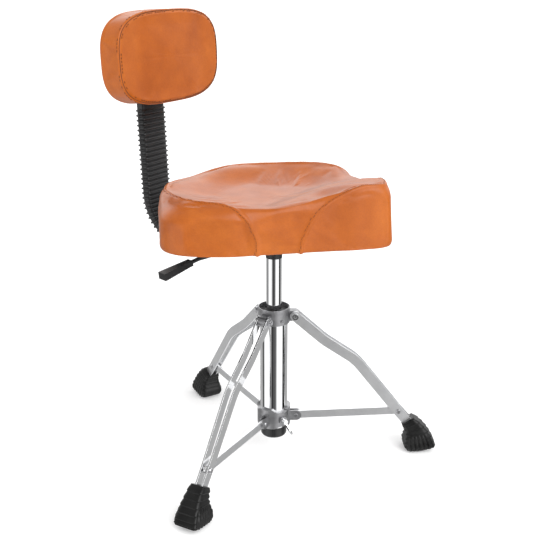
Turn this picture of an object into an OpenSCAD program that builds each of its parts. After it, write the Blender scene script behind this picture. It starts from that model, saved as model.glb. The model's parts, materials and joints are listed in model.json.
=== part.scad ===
// Swivelling, height-adjustable seat on a folding three-leg stand with a padded backrest.
// Millimetres. Origin on the floor under the column axis, +Z up, the seat faces -Y.

/* [Column] */
// Outer diameter of the chromed column
column_d = 50; // [45:0.5:55]
// Outer diameter of the gas spring's pressure tube
piston_d = 28; // [26:0.5:30]
// Height of the column tube's top edge
column_top = 281; // [270:1:300]
// Height of the black end cap's underside
cap_bottom = 36; // [30:1:45]
// Column wall thickness
column_wall = 2; // [1.5:0.1:3]

/* [Legs] */
// Turn of the whole stand under the seat, degrees
stand_turn = 64.3; // [0:0.1:120]
// Leg pivot radius from the column axis
pivot_r = 38.1; // [36:0.1:42]
// Leg pivot height
pivot_z = 274.1; // [265:0.1:280]
// First bend radius
bend1_r = 92; // [85:0.5:100]
// First bend height
bend1_z = 226; // [215:0.5:235]
// Second bend radius
bend2_r = 149.7; // [140:0.1:160]
// Second bend height
bend2_z = 186.7; // [175:0.1:195]
// Radius of the stay pivot on the leg
knee_r = 233; // [225:0.5:240]
// Height of the stay pivot on the leg
knee_z = 79.9; // [70:0.1:90]
// Leg strip width
strip_w = 18; // [15:0.5:20]
// Leg strip thickness
strip_t = 2.8; // [2:0.1:4]
// Half the outer width of a strip pair at the collar
pair_half = 10.6; // [9:0.1:14]
// Lean of each strip towards its twin, degrees
pair_lean = 0.85; // [0:0.01:2]

/* [Stays and lower collar] */
// Radius of the stay pivot on the lower collar
ear_r = 41.6; // [40:0.1:45]
// Height of the stay pivot on the lower collar
ear_z = 73.5; // [65:0.1:80]
// Lower collar underside
lower_bottom = 58; // [54:0.5:62]
// Lower collar top
lower_top = 95; // [88:0.5:100]
// Stay width across the fold
stay_t = 4.6; // [4:0.1:8.6]
// Stay height
stay_h = 15; // [13:0.5:17]

/* [Feet] */
// Foot centre radius on the floor
foot_r = 277.7; // [270:0.1:290]
// Foot length along the leg
foot_len = 50; // [44:0.5:56]
// Foot width
foot_w = 44; // [38:0.5:48]
// Foot height
foot_h = 57; // [50:0.5:70]

/* [Seat] */
// Seat underside
seat_z = 440; // [430:1:450]
// Wall height at the nose
nose_h = 106; // [90:1:115]
// Wall height at the thigh cut-outs and the sides
side_h = 76; // [65:1:90]
// Wall height at the back
rear_h = 70; // [60:1:85]
// Height of the dish's middle over the underside
dish_h = 60; // [50:1:64]
// Nose reach in front of the column
nose_r = 219; // [205:1:230]
// Extra reach of the nose's lower edge
nose_flare = 5; // [0:0.5:8]
// Outline radius on the nose's flanks
flank_r = 174; // [165:1:185]
// Outline radius at the thigh cut-outs
thigh_r = 164; // [155:1:180]
// Outline radius at the sides
side_r = 234; // [220:1:245]
// Outline radius at the hips
hip_r = 199; // [190:1:215]
// Outline radius at the back
rear_r = 196; // [185:1:210]

/* [Backrest] */
// Lean of the backrest, degrees
back_lean = 2; // [0:0.5:8]
// Bar centre behind the column
bar_y = 264; // [250:1:280]
// Centre height of the horizontal run of the bar
bar_z = 388; // [380:1:395]
// Bend radius of the bar
bar_bend = 80; // [70:1:110]
// Pad width
pad_w = 277; // [240:1:300]
// Pad height
pad_h = 163; // [140:1:180]
// Pad thickness with its board
pad_t = 45; // [40:1:65]
// Squareness of the pad's outline, 2 is an ellipse
pad_square = 3.3; // [2.5:0.1:6]

/* [Lever] */
// Height of the lever's pivot
lever_z = 420; // [418:1:424]
// Handle length
handle_len = 60; // [50:1:80]

/* [Hidden] */

$fn = 48;
eps = 0.01;

leg_azimuths = [stand_turn - 240, stand_turn - 120, stand_turn];
lock_azimuth = stand_turn - 180;
stay_len = norm([knee_r - ear_r, knee_z - ear_z]);
stay_tilt = atan2(knee_z - ear_z, knee_r - ear_r);
strip_half = pair_half - strip_t / 2;

chrome = [0.82, 0.83, 0.85];
zinc = [0.62, 0.63, 0.65];
black = [0.08, 0.08, 0.09];
tan_skin = [0.78, 0.42, 0.16];
ply = [0.72, 0.58, 0.4];

// ---- helpers -------------------------------------------------------------------------------

function unit(v) = v / norm(v);
function left(v) = [-v[1], v[0]];
// a corner replaced by a short curve, so a bent strip has no sharp fold
function bend(a, b, c, t, n) =
  let (s = b - unit(b - a) * t, e = b + unit(c - b) * t)
  [for (i = [0 : n]) let (u = i / n) s * pow(1 - u, 2) + b * 2 * u * (1 - u) + e * pow(u, 2)];
function heading(p, i) =
  i == 0 ? unit(p[1] - p[0]) :
  i == len(p) - 1 ? unit(p[i] - p[i - 1]) :
  unit(unit(p[i] - p[i - 1]) + unit(p[i + 1] - p[i]));
function band(p, w) = concat(
  [for (i = [0 : len(p) - 1]) p[i] + left(heading(p, i)) * w / 2],
  [for (i = [len(p) - 1 : -1 : 0]) p[i] - left(heading(p, i)) * w / 2]);

// 2D in (radius, height) becomes a plate in the leg's plane, t thick, centred on it
module plate(t) {
  rotate([90, 0, 0])
    linear_extrude(t, center = true)
      children();
}

// a cylinder across the leg's plane
module cross(r, z, rad, len) {
  translate([r, 0, z])
    rotate([90, 0, 0])
      cylinder(r = rad, h = len, center = true);
}

module at_leg(k) {
  rotate([0, 0, leg_azimuths[k]])
    children();
}

module at_legs() {
  for (k = [0 : 2])
    at_leg(k)
      children();
}

module tube(ro, ri, z0, z1) {
  difference() {
    translate([0, 0, z0])
      cylinder(r = ro, h = z1 - z0, $fn = 96);
    translate([0, 0, z0 - 1])
      cylinder(r = ri, h = z1 - z0 + 2, $fn = 96);
  }
}

// ---- column --------------------------------------------------------------------------------

cap_h = 20;

module column_tube() {
  color(chrome)
    tube(column_d / 2, column_d / 2 - column_wall, cap_bottom + cap_h, column_top);
}

module column_base_disc() {
  color(zinc)
    tube(column_d / 2 - column_wall, 5.06, 60, 64);
}

module column_end_cap() {
  color(black)
    difference() {
      union() {
        translate([0, 0, cap_bottom])
          cylinder(r1 = 22.2, r2 = 23.8, h = 3);
        translate([0, 0, cap_bottom + 3])
          cylinder(r = 23.8, h = cap_h - 3);
        translate([0, 0, cap_bottom + cap_h])
          cylinder(r = 22.95, h = 3.5);
      }
      translate([0, 0, cap_bottom + 5])
        cylinder(r = 19.5, h = 30);
    }
}

module guide_bush() {
  color([0.36, 0.36, 0.37])
    difference() {
      union() {
        translate([0, 0, column_top - 40])
          cylinder(r = column_d / 2 - column_wall, h = 40, $fn = 96);
        translate([0, 0, column_top])
          cylinder(r = 26.8, h = 2.5, $fn = 96);
      }
      translate([0, 0, column_top - 42])
        cylinder(r = piston_d / 2 + 0.05, h = 60, $fn = 96);
    }
}

lug_w = 14.8;

module lug() {
  union() {
    cross(pivot_r, pivot_z, 9.5, lug_w);
    translate([25.6, -lug_w / 2, pivot_z - 9.5])
      cube([pivot_r - 25.6, lug_w, 19]);
  }
}

module upper_collar() {
  color(zinc)
    difference() {
      union() {
        translate([0, 0, column_top - 19])
          cylinder(r = 28.5, h = 29, $fn = 96);
        at_legs()
          lug();
      }
      translate([0, 0, column_top - 40])
        cylinder(r = column_d / 2, h = 60, $fn = 96);
      translate([0, 0, column_top])
        cylinder(r = 27, h = 20, $fn = 96);
      at_legs()
        cross(pivot_r, pivot_z, 3, 40);
      for (a = [-60, 60, 180])
        rotate([0, 0, stand_turn + a])
          translate([20, 0, column_top - 11])
            rotate([0, 90, 0])
              cylinder(r = 2.5, h = 20);
    }
}

module collar_set_screws() {
  color(chrome)
    for (a = [-60, 60, 180])
      rotate([0, 0, stand_turn + a])
        translate([0, 0, column_top - 11])
          rotate([0, 90, 0])
            difference() {
              union() {
                translate([0, 0, column_d / 2])
                  cylinder(r = 2.5, h = 3.5);
                translate([0, 0, 28.5])
                  cylinder(r = 3.3, h = 2);
              }
              translate([0, 0, 29.2])
                cylinder(r = 1.5, h = 5);
            }
}

module leg_pivot_bolts() {
  color(chrome)
    at_legs()
      translate([pivot_r, 0, pivot_z])
        rotate([90, 0, 0])
          difference() {
            union() {
              translate([0, 0, -17.5])
                cylinder(r = 3, h = pair_half + 19);
              translate([0, 0, pair_half + 0.4])
                cylinder(r = 6, h = 3.4);
            }
            translate([0, 0, pair_half + 1.8])
              cylinder(r = 3, h = 6, $fn = 6);
          }
}

module leg_pivot_nuts() {
  color(zinc)
    at_legs()
      translate([pivot_r, 0, pivot_z])
        rotate([-90, 0, 0])
          difference() {
            translate([0, 0, pair_half + 0.4])
              cylinder(r = 6.2, h = 4, $fn = 6);
            translate([0, 0, pair_half])
              cylinder(r = 3, h = 8);
          }
}

module thrust_bearing() {
  color(zinc)
    tube(11, 5.1, 64, 67.9);
}

// ---- legs ----------------------------------------------------------------------------------

toe = [knee_r + 38, 35.4];
leg_path = concat(
  [[pivot_r, pivot_z]],
  bend([pivot_r, pivot_z], [bend1_r, bend1_z], [bend2_r, bend2_z], 9, 4),
  bend([bend1_r, bend1_z], [bend2_r, bend2_z], [knee_r, knee_z], 16, 6),
  bend([bend2_r, bend2_z], [knee_r, knee_z], toe, 8, 3),
  [toe]);

module strip(side) {
  difference() {
    union() {
      translate([pivot_r, side * strip_half, 0])
        rotate([0, 0, -side * pair_lean])
          translate([-pivot_r, 0, 0])
            plate(strip_t)
              polygon(band(leg_path, strip_w));
      translate([pivot_r, side * strip_half, pivot_z])
        rotate([0, 0, -side * pair_lean])
          rotate([90, 0, 0])
            cylinder(r = strip_w / 2 + 0.3, h = strip_t, center = true);
    }
    cross(pivot_r, pivot_z, 3.06, 60);
    cross(knee_r, knee_z, 2.5, 60);
  }
}

module knee_rivets() {
  for (s = [-1, 1])
    translate([knee_r, 0, knee_z])
      rotate([s * 90, 0, 0])
        union() {
          translate([0, 0, 4.9])
            cylinder(r = 2.5, h = 3);
          translate([0, 0, 4.6])
            cylinder(r = 2.5, h = 1);
          // washer that fills the room beside the stay
          translate([0, 0, stay_t / 2 + 0.35])
            cylinder(r = 4.4, h = 4.75 - stay_t / 2 - 0.35);
          translate([0, 0, 7.9])
            cylinder(r1 = 5.2, r2 = 3.4, h = 2.2);
        }
}

foot_top = [knee_r + 19.5, foot_h];
mouth_tilt = 40;

// the boot's outline in the leg's plane, from the floor up to the strips
module boot_core() {
  hull() {
    translate([foot_r - foot_len / 2, -foot_w / 2, 0])
      cube([foot_len, foot_w, 5]);
    translate([foot_top[0], 0, foot_top[1]])
      rotate([0, mouth_tilt, 0])
        translate([-13, -11, -4])
          cube([26, 22, 4]);
  }
}

module boot_rib(u) {
  translate([foot_r * (1 - u) + foot_top[0] * u, 0, 3 * (1 - u) + (foot_h - 2) * u])
    rotate([0, mouth_tilt * u, 0])
      translate([-(foot_len / 2 * (1 - u) + 14 * u) - 0.6, -(foot_w / 2 * (1 - u) + 11.6 * u) - 0.6, -1.8])
        cube([foot_len * (1 - u) + 28 * u + 1.2, foot_w * (1 - u) + 23.2 * u + 1.2, 3.6]);
}

module boot() {
  difference() {
    union() {
      boot_core();
      for (i = [1 : 6])
        boot_rib(i / 7);
    }
    for (s = [-1, 1])
      translate([pivot_r, s * strip_half, 0])
        rotate([0, 0, -s * pair_lean])
          translate([-pivot_r, 0, 0])
            plate(strip_t)
              polygon(band(leg_path, strip_w));
  }
}

module leg_a_strip_left() {
  color(chrome)
    at_leg(0)
      strip(1);
}

module leg_a_strip_right() {
  color(chrome)
    at_leg(0)
      strip(-1);
}

module leg_a_knee_rivets() {
  color(zinc)
    at_leg(0)
      knee_rivets();
}

module foot_a() {
  color(black)
    at_leg(0)
      boot();
}

module leg_b_strip_left() {
  color(chrome)
    at_leg(1)
      strip(1);
}

module leg_b_strip_right() {
  color(chrome)
    at_leg(1)
      strip(-1);
}

module leg_b_knee_rivets() {
  color(zinc)
    at_leg(1)
      knee_rivets();
}

module foot_b() {
  color(black)
    at_leg(1)
      boot();
}

module leg_c_strip_left() {
  color(chrome)
    at_leg(2)
      strip(1);
}

module leg_c_strip_right() {
  color(chrome)
    at_leg(2)
      strip(-1);
}

module leg_c_knee_rivets() {
  color(zinc)
    at_leg(2)
      knee_rivets();
}

module foot_c() {
  color(black)
    at_leg(2)
      boot();
}

// ---- lower collar and stays ----------------------------------------------------------------

ear_in = stay_t / 2 + 0.35;
ear_t = 3.2;

module lower_collar() {
  color(zinc)
    difference() {
      union() {
        translate([0, 0, lower_bottom])
          cylinder(r = 30.5, h = lower_top - lower_bottom, $fn = 96);
        at_legs()
          for (s = [-1, 1])
            translate([0, s * (ear_in + ear_t / 2), 0])
              union() {
                cross(ear_r, ear_z, 9.6, ear_t);
                translate([27, -ear_t / 2, ear_z - 9.6])
                  cube([ear_r - 27, ear_t, 19.2]);
              }
        rotate([0, 0, lock_azimuth])
          translate([28, 0, ear_z + 2])
            rotate([0, 90, 0])
              cylinder(r = 7.5, h = 6.5);
      }
      translate([0, 0, lower_bottom - 5])
        cylinder(r = column_d / 2 + 0.08, h = 60, $fn = 96);
      for (k = [0 : 2]) {
        at_leg(k)
          cross(ear_r, ear_z, 2.5, 40);
        rotate([0, 0, stand_turn + 60 + 120 * k])
          translate([10, 0, lower_top + 22])
            rotate([0, 90, 0])
              cylinder(r = 28, h = 40);
        rotate([0, 0, stand_turn + 60 + 120 * k])
          translate([10, 0, lower_bottom - 24])
            rotate([0, 90, 0])
              cylinder(r = 28, h = 40);
      }
      rotate([0, 0, lock_azimuth])
        translate([20, 0, ear_z + 2])
          rotate([0, 90, 0])
            cylinder(r = 3.05, h = 30);
      rotate([0, 0, lock_azimuth + 24])
        translate([20, -0.9, ear_z + 6])
          cube([20, 1.8, 40]);
    }
}

module ear_rivets() {
  color(zinc)
    at_legs()
      translate([ear_r, 0, ear_z])
        rotate([90, 0, 0])
          union() {
            translate([0, 0, -ear_in - ear_t - 0.8])
              cylinder(r = 2.5, h = 2 * (ear_in + ear_t + 0.8));
            for (s = [0, 180])
              rotate([s, 0, 0])
                translate([0, 0, ear_in + ear_t])
                  cylinder(r1 = 3.8, r2 = 2.8, h = 1.4);
          }
}

module stay() {
  translate([ear_r, 0, ear_z])
    rotate([0, -stay_tilt, 0])
      difference() {
        union() {
          rotate([90, 0, 0])
            cylinder(r = stay_h / 2, h = stay_t, center = true);
          translate([0, -stay_t / 2, -stay_h / 2])
            cube([stay_len, stay_t, stay_h]);
          translate([stay_len, 0, 0])
            rotate([90, 0, 0])
              cylinder(r = stay_h / 2, h = stay_t, center = true);
        }
        rotate([90, 0, 0])
          cylinder(r = 2.55, h = 40, center = true);
        translate([stay_len, 0, 0])
          rotate([90, 0, 0])
            cylinder(r = 2.6, h = 40, center = true);
      }
}

module stay_a() {
  color(chrome)
    at_leg(0)
      stay();
}

module stay_b() {
  color(chrome)
    at_leg(1)
      stay();
}

module stay_c() {
  color(chrome)
    at_leg(2)
      stay();
}

// the screw lies along +X here, its leaf hangs in XZ
module wing_screw() {
  color(chrome)
    rotate([0, 0, lock_azimuth])
      translate([0, 0, ear_z + 2])
        rotate([22, 0, 0])
          union() {
            translate([column_d / 2 + 0.6, 0, 0])
              rotate([0, 90, 0])
                cylinder(r = 3, h = 14);
            translate([34.9, 0, 0])
              rotate([0, 90, 0])
                cylinder(r1 = 5.6, r2 = 4.6, h = 8);
            plate(2.4)
              polygon([[36, -2], [41.5, -2], [46, -10], [51, -22], [50.5, -25.5], [47, -27],
                [42, -24], [38, -15]]);
          }
}

// ---- gas spring ----------------------------------------------------------------------------

module piston_rod() {
  color(chrome)
    union() {
      translate([0, 0, 55])
        cylinder(r = 5, h = 140);
      translate([0, 0, 68])
        cylinder(r = 8.5, h = 3);
      translate([0, 0, 183])
        cylinder(r = 11.95, h = 10);
    }
}

module rod_clip() {
  color(zinc)
    tube(8.5, 5, 57.6, 59.6);
}

hub_bottom = 383;
button_top = lever_z - 5.1;
neck_r = 13.2;
hub_r = 14.6;

module pressure_tube() {
  color(chrome)
    difference() {
      union() {
        translate([0, 0, 165])
          cylinder(r = piston_d / 2, h = hub_bottom - 165, $fn = 96);
        translate([0, 0, hub_bottom - 1])
          cylinder(r = neck_r, h = 23, $fn = 96);
      }
      translate([0, 0, 178])
        cylinder(r = 12, h = 200, $fn = 96);
      translate([0, 0, 160])
        cylinder(r = 5.1, h = 30);
      translate([0, 0, 370])
        cylinder(r = 4.06, h = 60);
    }
}

module valve_button() {
  color(zinc)
    translate([0, 0, 384])
      cylinder(r = 4, h = button_top - 384);
}

module taper_hub() {
  color(black)
    tube(hub_r, neck_r, hub_bottom, box_z + 3);
}

// ---- seat mechanism ------------------------------------------------------------------------

plate_z = seat_z - 4;
// the shallow box round the valve, and the deep box over the bar
box_z = lever_z - 11;
deep_z = bar_z + 3;
box_x = 30;
box_y = 28;
deep_y = 76;
box_wall = 3;
pin_x = -24;

module seat_plate() {
  color(black)
    difference() {
      union() {
        translate([-82, -95, plate_z])
          cube([164, 190, 4]);
        translate([-box_x, -box_y, box_z])
          cube([2 * box_x, 2 * box_y + eps, plate_z - box_z + eps]);
        translate([-box_x, box_y, deep_z])
          cube([2 * box_x, deep_y - box_y, plate_z - deep_z + eps]);
      }
      translate([-box_x + box_wall, -box_y + box_wall, box_z + box_wall])
        cube([2 * (box_x - box_wall), 2 * box_y - box_wall, seat_z - box_z]);
      translate([-box_x + box_wall, box_y + box_wall, deep_z + box_wall])
        cube([2 * (box_x - box_wall), deep_y - box_y - 2 * box_wall, seat_z - deep_z]);
      translate([0, 0, box_z - 5])
        cylinder(r = hub_r, h = 12, $fn = 96);
      translate([-box_x - 5, -10, lever_z - 8])
        cube([12, 26, 16]);
      for (i = [-1, 1])
        for (j = [-1, 1])
          translate([i * 68, j * 80, plate_z - 2])
            cylinder(r = 3, h = 10);
      for (y = bolt_rows)
        translate([0, y, deep_z - 5])
          cylinder(r = 4, h = 12);
      translate([pin_x, -box_y - 5, lever_z])
        rotate([-90, 0, 0])
          cylinder(r = 2.5, h = 2 * box_y + 5 + box_wall + eps);
    }
}

module seat_plate_screws() {
  color(zinc)
    for (i = [-1, 1])
      for (j = [-1, 1])
        translate([i * 68, j * 80, 0])
          union() {
            translate([0, 0, plate_z])
              cylinder(r = 3, h = 13);
            translate([0, 0, plate_z - 4])
              cylinder(r = 5.8, h = 4, $fn = 6);
          }
}

module lever_pivot_pin() {
  color(zinc)
    translate([pin_x, -box_y - 1.5, lever_z])
      rotate([-90, 0, 0])
        cylinder(r = 2.5, h = 2 * box_y + 1.5 + box_wall);
}

// turn of the rod and handle towards the back, and the droop of its outer end
lever_skew = 12;
lever_droop = 8;
rod_bend = 172;
rod_start = 28;
outer_rod_r = 3.3;
grip_start = 18;

// the rod's outer part: origin at its bend, X out along it
module outer_rod() {
  translate([0, 0, lever_z])
    rotate([0, 0, 180 - lever_skew])
      translate([rod_bend, 0, 0])
        rotate([0, lever_droop, 0])
          children();
}

module lever_rod() {
  color(black)
    union() {
      // tongue over the valve button, on a sleeve round the pin
      difference() {
        union() {
          translate([pin_x, -9, lever_z])
            rotate([-90, 0, 0])
              cylinder(r = 5, h = 18);
          translate([pin_x, -8, lever_z - 5])
            cube([8 - pin_x, 16, 4]);
        }
        translate([pin_x, -20, lever_z])
          rotate([-90, 0, 0])
            cylinder(r = 2.56, h = 80);
      }
      translate([0, 0, lever_z])
        rotate([0, 0, 180 - lever_skew])
          translate([rod_start, 0, 0])
            rotate([0, 90, 0])
              cylinder(r = 3.5, h = rod_bend - rod_start);
      outer_rod()
        translate([-3, 0, 0])
          rotate([0, 90, 0])
            cylinder(r = outer_rod_r, h = 3 + grip_start + 24);
    }
}

module lever_handle() {
  color(black)
    outer_rod()
      translate([grip_start, 0, 0])
        difference() {
          union() {
            translate([0, -6, -4.5])
              cube([12, 12, 9.5]);
            hull() {
              translate([6, -6, -4.5])
                cube([2, 12, 9.5]);
              translate([handle_len - 4, -8.5, -7])
                cube([4, 17, 12]);
            }
          }
          translate([-5, 0, 0])
            rotate([0, 90, 0])
              cylinder(r = outer_rod_r, h = 29);
        }
}

// ---- seat ----------------------------------------------------------------------------------

// A smooth curve through stations [angle from the nose, value], level at the nose and the back
function slope(p, i) =
  i == 0 || i == len(p) - 1 ? 0 : (p[i + 1][1] - p[i - 1][1]) / (p[i + 1][0] - p[i - 1][0]);
function through(p, s, i = 0) =
  i < len(p) - 2 && s > p[i + 1][0] ? through(p, s, i + 1) :
  let (w = p[i + 1][0] - p[i][0], t = (s - p[i][0]) / w, q = 1 - t)
  p[i][1] * (1 + 2 * t) * q * q + slope(p, i) * w * t * q * q
  + p[i + 1][1] * t * t * (1 + 2 * q) - slope(p, i + 1) * w * t * t * q;
function fold(a) = a > 180 ? 360 - a : a;

outline_stations = [[0, nose_r], [12, (nose_r + flank_r) / 2], [25, flank_r], [42, thigh_r],
  [64, thigh_r + 9], [82, (thigh_r + side_r) / 2 + 2], [103, side_r],
  [122, (side_r + hip_r) / 2 - 5], [142, hip_r], [180, rear_r]];
wall_stations = [[0, nose_h], [10, nose_h - 1], [20, nose_h - 11], [30, side_h + 10], [45, side_h + 1], [62, side_h - 2],
  [84, side_h + 4], [100, side_h + 2], [125, rear_h + 4], [150, rear_h + 6], [180, rear_h]];
// how far the top edge rounds inwards
shoulder_stations = [[0, 24], [30, 11], [55, 8], [80, 32], [103, 54], [122, 36], [142, 24], [180, 34]];

function outline(a) = through(outline_stations, fold(a));
function wall(a) = through(wall_stations, fold(a));
function shoulder(a) = through(shoulder_stations, fold(a));
function ease(k) = k * k * (3 - 2 * k);

seg = 72;
board_share = 0.9;
// rings from the board's recess over the wall and the shoulder to the dish:
// [share of the outline, share of the shoulder, share of the wall, offset]
wall_rings = [[board_share, 0, 0, 13], [board_share, 0, 0, 0], [0.975, 0, 0, 0], [0.993, 0, 0, 3],
  [1, 0, 0, 10], [1, 0, 1, -28], [1, 0.25, 1, -10], [1, 0.6, 1, -3], [1, 1, 1, 0]];
// shares of the way from the dish's middle to the shoulder's crest
dish_rings = [0.85, 0.7, 0.55, 0.4, 0.2];

function at_angle(a, r, z) = [r * sin(a), -r * cos(a), seat_z + z];
// the nose stands further forward at its lower edge
function flare(a) = nose_flare * exp(-pow(fold(a) / 38, 2));
function wall_point(g, a) =
  at_angle(a, (outline(a) + flare(a) * (1 - g[2])) * g[0] - shoulder(a) * g[1],
    wall(a) * g[2] + g[3]);
function dish_point(k, a) =
  at_angle(a, (outline(a) - shoulder(a)) * k, dish_h + (wall(a) - dish_h) * ease(k));

module seat_cushion() {
  turns = [for (i = [0 : seg - 1]) i * 360 / seg];
  last = len(wall_rings) + len(dish_rings) - 1;
  color(tan_skin)
    polyhedron(
      points = concat(
        [for (g = wall_rings) for (a = turns) wall_point(g, a)],
        [for (k = dish_rings) for (a = turns) dish_point(k, a)],
        [[0, 0, seat_z + dish_h]]),
      faces = concat(
        [[for (i = [0 : seg - 1]) i]],
        [for (k = [0 : last - 1]) for (i = [0 : seg - 1])
          [k * seg + i, (k + 1) * seg + i, k * seg + (i + 1) % seg]],
        [for (k = [0 : last - 1]) for (i = [0 : seg - 1])
          [k * seg + (i + 1) % seg, (k + 1) * seg + i, (k + 1) * seg + (i + 1) % seg]],
        [for (i = [0 : seg - 1])
          [last * seg + i, (last + 1) * seg, last * seg + (i + 1) % seg]]));
}

function board_outline() =
  [for (i = [0 : seg - 1]) let (a = i * 360 / seg, r = outline(a) * board_share)
    [r * sin(a), -r * cos(a)]];

module seat_board() {
  color(ply)
    difference() {
      translate([0, 0, seat_z + 1])
        linear_extrude(12)
          polygon(board_outline());
      for (i = [-1, 1])
        for (j = [-1, 1])
          translate([i * 68, j * 80, seat_z - 2])
            cylinder(r = 3, h = 11);
    }
}

module dust_cover() {
  color(black)
    difference() {
      translate([0, 0, seat_z])
        linear_extrude(1)
          polygon(board_outline());
      for (i = [-1, 1])
        for (j = [-1, 1])
          translate([i * 68, j * 80, seat_z - 2])
            cylinder(r = 3, h = 11);
    }
}

// ---- backrest ------------------------------------------------------------------------------

arc_y = bar_y - bar_bend;
arc_z = bar_z + bar_bend;
bar_top = 285;
bolt_rows = [38, 62];
screw_rows = [210, 265];
sweep = 90 - back_lean;

// the bar's upright frame: origin at the end of the bend, Z along the bar
module upright() {
  translate([0, arc_y, arc_z])
    rotate([-back_lean, 0, 0])
      translate([0, bar_bend, 0])
        children();
}

// (behind, height) of the bar's centre line a distance h past the bend's end, t out of line
function up_point(h, t) = [arc_y, arc_z]
  + (bar_bend + t) * [cos(back_lean), -sin(back_lean)] + h * [sin(back_lean), cos(back_lean)];
function arc_point(a, t) = [arc_y, arc_z] + (bar_bend + t) * [sin(a), -cos(a)];
// a strip of the bar's course, from y0 to h past the bend, between the offsets t0 and t1
arc_n = 18;
function course(y0, h, t0, t1) = concat(
  [[y0, bar_z - t0]], [for (i = [0 : arc_n]) arc_point(sweep * i / arc_n, t0)], [up_point(h, t0)],
  [up_point(h, t1)], [for (i = [arc_n : -1 : 0]) arc_point(sweep * i / arc_n, t1)],
  [[y0, bar_z - t1]]);

// 2D in (behind, height) becomes a plate across the seat, w wide
module across(w) {
  rotate([90, 0, 90])
    linear_extrude(w, center = true)
      children();
}

module back_bar() {
  color(black)
    difference() {
      across(40)
        polygon(course(28, bar_top, -3, 3));
      for (y = bolt_rows)
        translate([0, y, bar_z - 10])
          cylinder(r = 4, h = 20);
      upright()
        for (i = [-1, 1])
          for (h = screw_rows)
            translate([i * 10, -10, h])
              rotate([-90, 0, 0])
                cylinder(r = 3, h = 20);
    }
}

module back_bar_bolts() {
  color(zinc)
    for (y = bolt_rows)
      translate([0, y, 0])
        union() {
          translate([0, 0, bar_z - 3])
            cylinder(r = 4, h = 14);
          translate([0, 0, bar_z - 7])
            cylinder(r = 7, h = 4, $fn = 6);
          translate([0, 0, deep_z + box_wall])
            cylinder(r = 7, h = 5, $fn = 6);
        }
}

sleeve_top = 186;
sleeve_y0 = 82;
sleeve_w = 60;
sleeve_t = 17;
rib_out = 3;
rib_pitch = 8.95;
rib_t = 3.2;
straight_ribs = floor(sleeve_top / rib_pitch);
bend_ribs = 13;
flat_ribs = floor((arc_y - sleeve_y0) / rib_pitch);

module bar_sleeve() {
  w = sleeve_w + 2 * rib_out;
  t = sleeve_t / 2 + rib_out;
  color(black)
    difference() {
      union() {
        across(sleeve_w)
          polygon(course(sleeve_y0, sleeve_top, -sleeve_t / 2, sleeve_t / 2));
        for (i = [0 : flat_ribs - 1])
          translate([-w / 2, sleeve_y0 + i * rib_pitch, bar_z - t])
            cube([w, rib_t, 2 * t]);
        for (i = [0 : bend_ribs - 1])
          let (a = sweep * i / bend_ribs + 1, b = a + 2.4)
          across(w)
            polygon([arc_point(a, -t), arc_point(b, -t), arc_point(b, t), arc_point(a, t)]);
        upright()
          for (i = [0 : straight_ribs - 1])
            translate([-w / 2, -t, i * rib_pitch + 3])
              cube([w, 2 * t, rib_t]);
      }
      across(40)
        polygon(course(28, bar_top, -3, 3));
    }
}

pad_mid = 254;
// the block between the bar and the pad's board
block_t = 12;
block_z = 194;

// the pad's frame: X across, Y out of the front face towards the sitter, Z up
module pad_place() {
  upright()
    translate([0, -3 - block_t, pad_mid])
      rotate([90, 0, 0])
        children();
}

// the pad's outline, a superellipse, drawn in by e all round
module pad_shape(e) {
  n = 2 / pad_square;
  polygon([for (i = [0 : 95]) let (c = cos(i * 3.75), s = sin(i * 3.75))
    [(pad_w / 2 - e) * sign(c) * pow(abs(c), n), (pad_h / 2 - e) * sign(s) * pow(abs(s), n)]]);
}

module back_board() {
  color(ply)
    difference() {
      union() {
        pad_place()
          linear_extrude(10)
            pad_shape(7);
        upright()
          translate([-40, -3 - block_t - eps, block_z])
            cube([80, block_t + eps, bar_top - block_z]);
      }
      upright()
        for (i = [-1, 1])
          for (h = screw_rows)
            translate([i * 10, -17 - block_t, h])
              rotate([-90, 0, 0])
                cylinder(r = 3, h = 30 + block_t);
    }
}

module back_board_screws() {
  color(zinc)
    upright()
      for (i = [-1, 1])
        for (h = screw_rows)
          translate([i * 10, 0, h])
            rotate([-90, 0, 0])
              union() {
                translate([0, 0, -13 - block_t])
                  cylinder(r = 3, h = 16 + block_t);
                translate([0, 0, 3])
                  cylinder(r = 5.6, h = 3.5);
              }
}

module back_cushion() {
  color(tan_skin)
    difference() {
      pad_place()
        union() {
          linear_extrude(4)
            pad_shape(2);
          translate([0, 0, 4])
            linear_extrude(pad_t - 8)
              pad_shape(0);
          translate([0, 0, pad_t - 4])
            linear_extrude(4)
              pad_shape(3);
          translate([0, 0, pad_t])
            linear_extrude(3)
              pad_shape(17);
        }
      pad_place()
        translate([0, 0, -1])
          linear_extrude(11)
            pad_shape(7);
      upright()
        for (i = [-1, 1])
          for (h = screw_rows)
            translate([i * 10, -16.5 - block_t, h])
              rotate([-90, 0, 0])
                cylinder(r = 3, h = 30);
    }
}

column_tube();
column_base_disc();
column_end_cap();
guide_bush();
upper_collar();
collar_set_screws();
leg_pivot_bolts();
leg_pivot_nuts();
thrust_bearing();
leg_a_strip_left();
leg_a_strip_right();
leg_a_knee_rivets();
foot_a();
leg_b_strip_left();
leg_b_strip_right();
leg_b_knee_rivets();
foot_b();
leg_c_strip_left();
leg_c_strip_right();
leg_c_knee_rivets();
foot_c();
lower_collar();
ear_rivets();
stay_a();
stay_b();
stay_c();
wing_screw();
piston_rod();
rod_clip();
pressure_tube();
valve_button();
taper_hub();
seat_plate();
seat_plate_screws();
lever_pivot_pin();
lever_rod();
lever_handle();
seat_board();
dust_cover();
seat_cushion();
back_bar();
back_bar_bolts();
bar_sleeve();
back_board();
back_board_screws();
back_cushion();
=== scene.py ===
"""Looks of the drum throne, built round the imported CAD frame. Metres, +Z up, the seat faces -Y."""
import json
import math

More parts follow.
